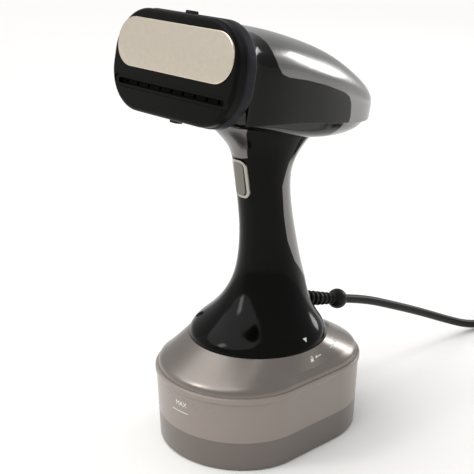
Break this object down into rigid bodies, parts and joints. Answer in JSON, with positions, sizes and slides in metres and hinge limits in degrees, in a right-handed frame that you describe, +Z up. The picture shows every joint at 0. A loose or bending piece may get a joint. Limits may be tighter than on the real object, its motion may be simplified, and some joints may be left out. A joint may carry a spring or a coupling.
{
  "type": "garment steamer",
  "caption": "Handheld garment steamer: wide steam head with a pressing plate on an upright handle, standing on a twist-off water tank, with a supply cord.",
  "frame": {"origin": "on the standing surface, on the axis about which the tank twists off the handle", "axes": "+Z up along the twist axis, -Y towards the front where the steam leaves, +X to the right-hand side"},
  "size_m": [0.1365, 0.482, 0.2881],
  "materials": {
    "gloss_black": "polished ABS",
    "satin_black": "satin PPS",
    "collar": "matt",
    "grey_lacquer": "titanium-grey lacquer on ABS",
    "satin_silver": "satin plated ABS",
    "sole_steel": "polished, warm tint",
    "steel": "plain",
    "die_cast": "die cast",
    "smoke": "smoked, pearl",
    "smoke_dark": "smoked, darker",
    "silicone": "soft",
    "cable_black": "satin PVC",
    "copper": "enamelled winding",
    "insulator": "moulded nylon",
    "brass": "plain"
  },
  "bodies": {
    "handle": {"handle_shell_left": "gloss_black", "handle_shell_right": "gloss_black", "rear_strip": "grey_lacquer", "cord_exit_panel": "gloss_black", "chin_panel": "grey_lacquer", "case_screws": "steel", "trigger_bezel": "satin_silver", "trigger_pin": "steel", "trigger_spring": "steel", "switch_body": "satin_black", "wiring": "cable_black", "outlet_hose": "silicone", "pump_body": "insulator", "pump_coil": "copper", "pump_yoke": "steel", "pump_spring": "steel", "inlet_hose": "silicone", "terminal_block": "insulator", "cord_clamp": "satin_black", "strain_relief": "cable_black", "base_plug": "satin_black", "neck_seal": "silicone", "suction_tube": "silicone", "filter_weight": "brass", "nozzle_plate": "satin_black", "sole_plate": "sole_steel", "steam_insert": "satin_black", "steam_manifold": "satin_black", "collar_ring": "collar", "head_top_cover": "grey_lacquer", "head_lower_shell": "gloss_black", "boiler_block": "die_cast", "boiler_gasket": "silicone", "boiler_lid": "die_cast", "boiler_screws": "steel", "heating_element": "steel", "thermostat": "steel", "thermal_fuse": "brass", "steam_pipe": "steel", "cord_lead": "cable_black", "cord_tail": "cable_black", "cord_coil": "cable_black", "plug_body": "cable_black", "plug_pins": "brass"},
    "trigger": {"trigger": "satin_silver"},
    "switch_plunger": {"switch_plunger": "insulator"},
    "pump_piston": {"pump_piston": "steel"},
    "lock_ring": {"lock_ring": "satin_black"},
    "tank": {"tank_top": "smoke", "tank_body": "smoke", "tank_base": "smoke_dark"}
  },
  "joints": [
    {"name": "trigger_press", "type": "hinge", "parent": "handle", "child": "trigger", "pos_m": [0, -0.01271, 0.1873], "axis": [1, 0, 0], "range_deg": [0, 8], "stiffness_Nm_per_rad": 0.25, "springref_deg": -8.59, "deforming": ["trigger_spring"]},
    {"name": "switch_plunger_slide", "type": "slide", "parent": "handle", "child": "switch_plunger", "axis": [0, 1, 0], "range_m": [0, 0.0025]},
    {"name": "pump_stroke", "type": "slide", "parent": "handle", "child": "pump_piston", "axis": [0, 0, 1], "range_m": [0, 0.003], "stiffness_N_per_m": 400, "springref_m": -0.0005, "deforming": ["pump_spring"]},
    {"name": "tank_twist", "type": "hinge", "parent": "handle", "child": "lock_ring", "pos_m": [0, 0, 0.0644], "axis": [0, 0, 1], "range_deg": [0, 30]},
    {"name": "tank_drop", "type": "slide", "parent": "lock_ring", "child": "tank", "axis": [0, 0, -1], "range_m": [0, 0.09]}
  ],
  "couplings": [
    {"joint": "switch_plunger_slide", "follows": "trigger_press", "m_per_rad": 0.015}
  ]
}
